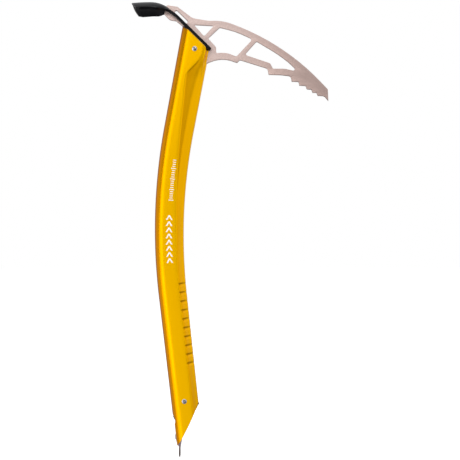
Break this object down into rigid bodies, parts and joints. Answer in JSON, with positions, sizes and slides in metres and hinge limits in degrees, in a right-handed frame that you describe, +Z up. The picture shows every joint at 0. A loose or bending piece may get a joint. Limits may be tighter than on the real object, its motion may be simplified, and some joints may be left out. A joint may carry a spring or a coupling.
{
  "type": "ice axe",
  "caption": "Short ice axe: curved steel pick plate with windows and teeth, arched adze, bent hollow aluminium shaft with grooved grip, and a small steel spike.",
  "frame": {"origin": "middle of the hand grip, on the shaft's middle line", "axes": "+X towards the pick, +Z up towards the head, +Y across the shaft, so the axe is mirror-symmetric about the XZ plane"},
  "size_m": [0.2155, 0.049, 0.4993],
  "materials": {
    "shaft": "gold anodised, satin",
    "head_steel": "bead-blasted, satin, slightly pink",
    "adze_black": "black anodised, semi-gloss",
    "nylon": "moulded, matte",
    "rivet": "polished",
    "spike_steel": "heat-treated, dark"
  },
  "bodies": {
    "root": {"shaft_tube": "shaft", "head_plate": "head_steel", "adze": "adze_black", "head_insert_left": "nylon", "head_insert_right": "nylon", "head_rivet": "rivet", "end_plug_left": "nylon", "end_plug_right": "nylon", "spike": "spike_steel", "spike_rivet": "rivet"}
  },
  "joints": []
}
